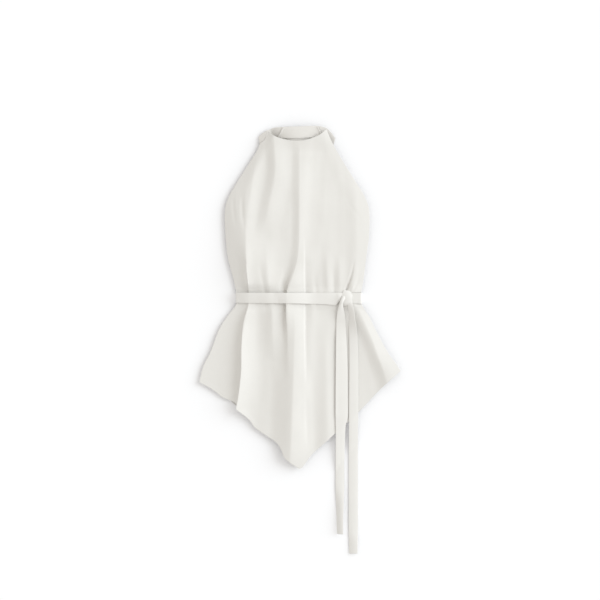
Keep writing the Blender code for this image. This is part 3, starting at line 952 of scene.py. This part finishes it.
def crepe(name, colour, thread, mottle):
    """Matt crepe: pebbles and threads in the bump, which follow the flat cloth, and a
    faint unevenness of the dye. thread is in millimetres."""
    material = bpy.data.materials.new(name)
    material.use_nodes = True
    link = material.node_tree.links.new
    shader = material.node_tree.nodes["Principled BSDF"]
    shader.inputs["Roughness"].default_value = CREPE_ROUGHNESS
    shader.inputs["Specular IOR Level"].default_value = CREPE_SHINE
    shader.inputs["Sheen Weight"].default_value = HAIRS
    shader.inputs["Sheen Roughness"].default_value = HAIR_ROUGHNESS

    flat = add_node(material, "ShaderNodeUVMap", uv_map="flat")
    pebbles = add_node(
        material, "ShaderNodeTexNoise", scale=1 / (PEBBLE * MM), detail=PEBBLE_DETAIL
    )
    wave = THREAD_WAVE / (thread * MM)
    warp = add_node(material, "ShaderNodeTexWave", bands_direction="X", scale=wave)
    weft = add_node(material, "ShaderNodeTexWave", bands_direction="Y", scale=wave)
    threads = add_node(material, "ShaderNodeMath", operation="MULTIPLY")
    height = add_node(material, "ShaderNodeMath", operation="MULTIPLY_ADD")
    bump = add_node(material, "ShaderNodeBump", strength=RELIEF_STRENGTH, distance=RELIEF * MM)
    for texture in (pebbles, warp, weft):
        link(flat.outputs["UV"], texture.inputs["Vector"])
    link(warp.outputs["Fac"], threads.inputs[0])
    link(weft.outputs["Fac"], threads.inputs[1])
    link(threads.outputs["Value"], height.inputs[0])
    height.inputs[1].default_value = THREAD_RELIEF
    link(pebbles.outputs["Fac"], height.inputs[2])
    link(height.outputs["Value"], bump.inputs["Height"])
    link(bump.outputs["Normal"], shader.inputs["Normal"])

    dye = add_node(
        material, "ShaderNodeTexNoise",
        scale=1 / (DYE_PATCH * MM), detail=DYE_DETAIL, roughness=DYE_ROUGHNESS,
    )
    shades = add_node(material, "ShaderNodeValToRGB")
    link(flat.outputs["UV"], dye.inputs["Vector"])
    link(dye.outputs["Fac"], shades.inputs["Fac"])
    shades.color_ramp.elements[0].position = DYE_DARK_AT
    shades.color_ramp.elements[0].color = (*(c * (1 - mottle) for c in colour), 1.0)
    shades.color_ramp.elements[1].position = DYE_PALE_AT
    shades.color_ramp.elements[1].color = (*colour, 1.0)
    link(shades.outputs["Color"], shader.inputs["Base Color"])
    return material


def make_panels():
    """The front, the back and the facing in the neck."""
    front_rows = rows_of(*FRONT_ROWS)
    back_rows = rows_of(*BACK_ROWS)

    front_places = [guided_columns(row) for row in front_rows]
    front = finish_piece(
        "front_cloth",
        cloth_sheet(
            FRONT_COLUMNS, len(front_rows) - 1,
            lambda i, j: front_point(front_places[j][i], front_rows[j]),
            lambda i, j: front_xy(front_places[j][i], front_rows[j]),
        ),
        IVORY, CLOTH, -1,
    )
    back = finish_piece(
        "back_cloth",
        cloth_sheet(
            BACK_COLUMNS, len(back_rows) - 1,
            lambda i, j: back_point(i / BACK_COLUMNS, back_rows[j]),
            lambda i, j: back_xy(i / BACK_COLUMNS, back_rows[j]),
        ),
        INSIDE_PAINTED_SHADE, CLOTH, 1,
    )
    facing = finish_piece(
        "facing_cloth",
        cloth_sheet(
            FACING_COLUMNS, FACING_ROWS,
            lambda i, j: facing_point(i / FACING_COLUMNS, j / FACING_ROWS),
            lambda i, j: (i * FACING_FLAT_ACROSS, -j * FACING_FLAT_DOWN),
        ),
        INSIDE_PAINTED_SHADE, CLOTH, 1,
    )
    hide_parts("front")
    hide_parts("back")
    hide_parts("neck_facing")
    return front, back, facing


def make_belt(front_top):
    """A closed band: over the front, round its edge and back under the top."""
    left, right = (EDGE[side]((BELT_TOP + BELT_LOW) / 2) for side in (LEFT, RIGHT))
    xs = [mix(left, right, i / BELT_COLUMNS) for i in range(BELT_COLUMNS + 1)]
    levels = [
        mix(BELT_TOP - BELT_LEVELS_IN, BELT_LOW + BELT_LEVELS_IN, k / (BELT_LEVELS - 1))
        for k in range(BELT_LEVELS)
    ]
    under = [max(front_top(x, y) for y in levels) for x in xs]
    under[0] = under[1] = under[2]
    under[-1] = under[-2] = under[-3]
    step = (right - left) / BELT_COLUMNS
    top_rests = eased_over(under, round(BELT_BRIDGE / step))
    low_rests = eased_over(under, round(BELT_FOLLOW / step))

    def edges(x, share):
        return mix(BELT_TOP_EDGE(x), BELT_LOW_EDGE(x), share)

    def over(i, share):
        side = 2 * share - 1
        near_knot = 1 - ease(abs(xs[i] - WRAP[2].x) / BELT_GATHER_REACH)
        gathers = BELT_GATHER_DEPTH * cos(pi * BELT_GATHERS * side) * near_knot
        crown = BELT_CROWN(xs[i]) * (1 - side * side) + gathers + BELT_TILT(xs[i]) * (1 - share)
        return xs[i], edges(xs[i], share), mix(top_rests[i], low_rests[i], share) + LAY + crown

    def turn(side, down, share):
        x, y, z = over(0 if side == LEFT else BELT_COLUMNS, share)
        return x + side * BELT_BULGE * sin(pi * down), y, mix(z, BELT_CLOTH, down)

    def below(back, share):
        x = mix(xs[-1], xs[0], back)
        return x, edges(x, share), BELT_CLOTH

    loop = [(over, (i,)) for i in range(BELT_COLUMNS + 1)]
    loop += [(turn, (RIGHT, k / TURN_COLUMNS)) for k in range(1, TURN_COLUMNS)]
    loop += [(below, (k / UNDER_COLUMNS,)) for k in range(UNDER_COLUMNS + 1)]
    loop += [(turn, (LEFT, 1 - k / TURN_COLUMNS)) for k in range(1, TURN_COLUMNS)]

    def place(i, j):
        function, where = loop[i % len(loop)]
        return function(*where, j / BELT_ROWS)

    mesh = cloth_sheet(
        len(loop), BELT_ROWS, place,
        lambda i, j: (i * step, -j * (BELT_TOP - BELT_LOW) / BELT_ROWS),
    )
    belt = finish_piece("belt_cloth", mesh, TAPE, BELT_CLOTH, 1, closed=True)
    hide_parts("belt")
    return belt


def make_knot(belt_top):
    """The band that wraps the gathered belt."""
    base = belt_top(WRAP[2].x, WRAP[2].y)
    mesh = band(WRAP, WRAP_STEP, lambda centres, _: [(base, base)] * len(centres))
    knot = finish_piece("knot_cloth", mesh, TAPE, BELT_CLOTH, 1)
    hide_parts("belt_knot")
    return knot


def make_tie(name, node, stations, top):
    """A free end of the belt, which rests on what lies under it and then on the floor."""
    def lane(centres, widths, share):
        reach = round(TIE_REST / TIE_STEP)
        rests = eased_over([top(x + w * share, y) for (x, y), w in zip(centres, widths)], reach)
        for j in range(1, len(rests)):
            rests[j] = max(rests[j], rests[j - 1] - TIE_FALL * TIE_STEP)
        return [rest + TIE_CLEAR * ease(rest) for rest in eased_over(rests, reach // 2)]

    def seat(centres, widths):
        shares = [k / (TIE_LANES - 1) - 0.5 for k in range(TIE_LANES)]
        rows = zip(*(lane(centres, widths, share) for share in shares))
        return [[mix(rest, max(row), TIE_STIFF) for rest in row] for row in rows]

    tie = finish_piece(name, band(stations, TIE_STEP, seat), TAPE, BELT_CLOTH, 1)
    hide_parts(node)
    return tie


def by_corners(face):
    """A number for a face from its corners, which sorts the faces the same way each run."""
    number = 0
    for corner in sorted(vert.index for vert in face.verts):
        number = number * MOST_CORNERS + corner
    return number


def sew(name, lines, top, length, pitch):
    """Threads along lines seen from above, each partly sunk in the cloth below it."""
    whole = bmesh.new()
    whole.loops.layers.uv.new("flat")
    for line in lines:
        since = pitch
        for a, b in zip(line, line[1:]):
            since += hypot(b[0] - a[0], b[1] - a[1])
            if since < pitch:
                continue
            since = 0.0
            height = top(*a)
            ahead = Vector((b[0] - a[0], b[1] - a[1], top(*b) - height)).normalized()
            turned = ahead.to_track_quat("X", "Z").to_matrix().to_4x4()
            size = Matrix.Diagonal((length / 2, STITCH_THICK / 2, STITCH_THICK / 2, 1))
            at = Matrix.Translation((a[0], a[1], height + STITCH_THICK * STITCH_PROUD))
            bmesh.ops.create_uvsphere(
                whole, u_segments=STITCH_SIDES, v_segments=STITCH_RINGS, radius=1.0, calc_uvs=True,
                matrix=Matrix.Scale(MM, 4) @ at @ turned @ size,
            )
    whole.verts.index_update()
    whole.faces.sort(key=by_corners)
    return finish_piece(name, whole, THREAD)


def make_stitches(front_top, facing_top, tie_top):
    """The facing's lower edge, the hem, and the ends of the belt."""
    down = 1 - FACING_STITCH_IN / FACING_DEPTH
    steps = range(FACING_STEPS_LEFT, FACING_LINE_STEPS - FACING_STEPS_LEFT + 1)
    facing_line = [facing_point(k / FACING_LINE_STEPS, down)[:2] for k in steps]
    sew("facing_stitches", [facing_line], facing_top, SEAM_STITCH, SEAM_PITCH)

    left, right = HEM[0].x + HEM_STITCH_ENDS, HEM[-1].x - HEM_STITCH_ENDS
    xs = [mix(left, right, k / HEM_LINE_STEPS) for k in range(HEM_LINE_STEPS + 1)]
    hem_line = [(x, hem_y(x) + HEM_DEPTH) for x in xs]
    sew("hem_stitches", [hem_line], front_top, HEM_STITCH, HEM_PITCH)

    ends = []
    for stations in (TIE_SHORT, TIE_LONG):
        last = stations[-1]
        half = last.width / 2 * cos(radians(last.turn)) - END_STITCH_SIDES
        shares = [k / END_HALF_STEPS - 1 for k in range(2 * END_HALF_STEPS + 1)]
        ends.append([(last.x + half * share, last.y + END_STITCH_IN) for share in shares])
    sew("belt_end_stitches", ends, tie_top, SEAM_STITCH, SEAM_PITCH)


def make_floor():
    """White paper just below the top, so that their faces don't coincide."""
    bpy.ops.mesh.primitive_plane_add(size=PAPER_SIZE, location=(0, 0, -PAPER_BELOW * MM))
    floor = bpy.context.object
    floor.name = "floor"
    paper = bpy.data.materials.new("white_paper")
    paper.use_nodes = True
    shader = paper.node_tree.nodes["Principled BSDF"]
    shader.inputs["Base Color"].default_value = (*PAPER_COLOUR, 1)
    shader.inputs["Roughness"].default_value = 1.0
    shader.inputs["Specular IOR Level"].default_value = 0.0
    floor.data.materials.append(paper)


def make_light():
    """A wide soft light from the upper right, and an even pale room."""
    sun = bpy.data.lights.new("window", "SUN")
    sun.energy = SUN_STRENGTH
    sun.angle = radians(SUN_WIDTH)
    sun.color = SUN_COLOUR
    lamp = bpy.data.objects.new("window", sun)
    lamp.rotation_euler = Vector(SUN_FROM).to_track_quat("Z", "Y").to_euler()
    bpy.context.scene.collection.objects.link(lamp)
    room = bpy.data.worlds.new("room")
    room.use_nodes = True
    room.node_tree.nodes["Background"].inputs["Color"].default_value = (*ROOM_COLOUR, 1)
    room.node_tree.nodes["Background"].inputs["Strength"].default_value = ROOM_STRENGTH
    bpy.context.scene.world = room


def make_camera():
    lens = bpy.data.cameras.new("camera")
    lens.lens = CAMERA_LENS
    lens.sensor_width = CAMERA_SENSOR
    camera = bpy.data.objects.new("camera", lens)
    camera.location = (CAMERA_X, CAMERA_Y, CAMERA_HEIGHT)
    bpy.context.scene.collection.objects.link(camera)
    bpy.context.scene.camera = camera
    bpy.context.scene.view_settings.view_transform = "Standard"


IVORY = crepe("ivory_crepe", IVORY_COLOUR, CLOTH_THREAD, MOTTLE)
# Painted shade: a darker copy of the crepe for the cloth that lies in shade inside the top
INSIDE_PAINTED_SHADE = crepe("ivory_crepe_inside_painted_shade", INSIDE_PAINTED_SHADE_COLOUR, CLOTH_THREAD, MOTTLE)
TAPE = crepe("ivory_belt_crepe", TAPE_COLOUR, BELT_THREAD, MOTTLE)
THREAD = crepe("ivory_thread", THREAD_COLOUR, SEWING_THREAD, 0.0)

front, back, facing = make_panels()
front_tree = tree_of(front)
belt = make_belt(top_of([front_tree]))
belt_tree = tree_of(belt)
knot = make_knot(top_of([belt_tree]))
laid_on = top_of([front_tree, belt_tree])
tie_short = make_tie("tie_short_cloth", "tie_short", TIE_SHORT, laid_on)
tie_long = make_tie("tie_long_cloth", "tie_long", TIE_LONG, laid_on)
facing_tree = tree_of(facing)
tie_trees = [tree_of(tie_short), tree_of(tie_long)]
make_stitches(top_of([front_tree]), top_of([facing_tree]), top_of(tie_trees))

make_floor()
make_light()
make_camera()
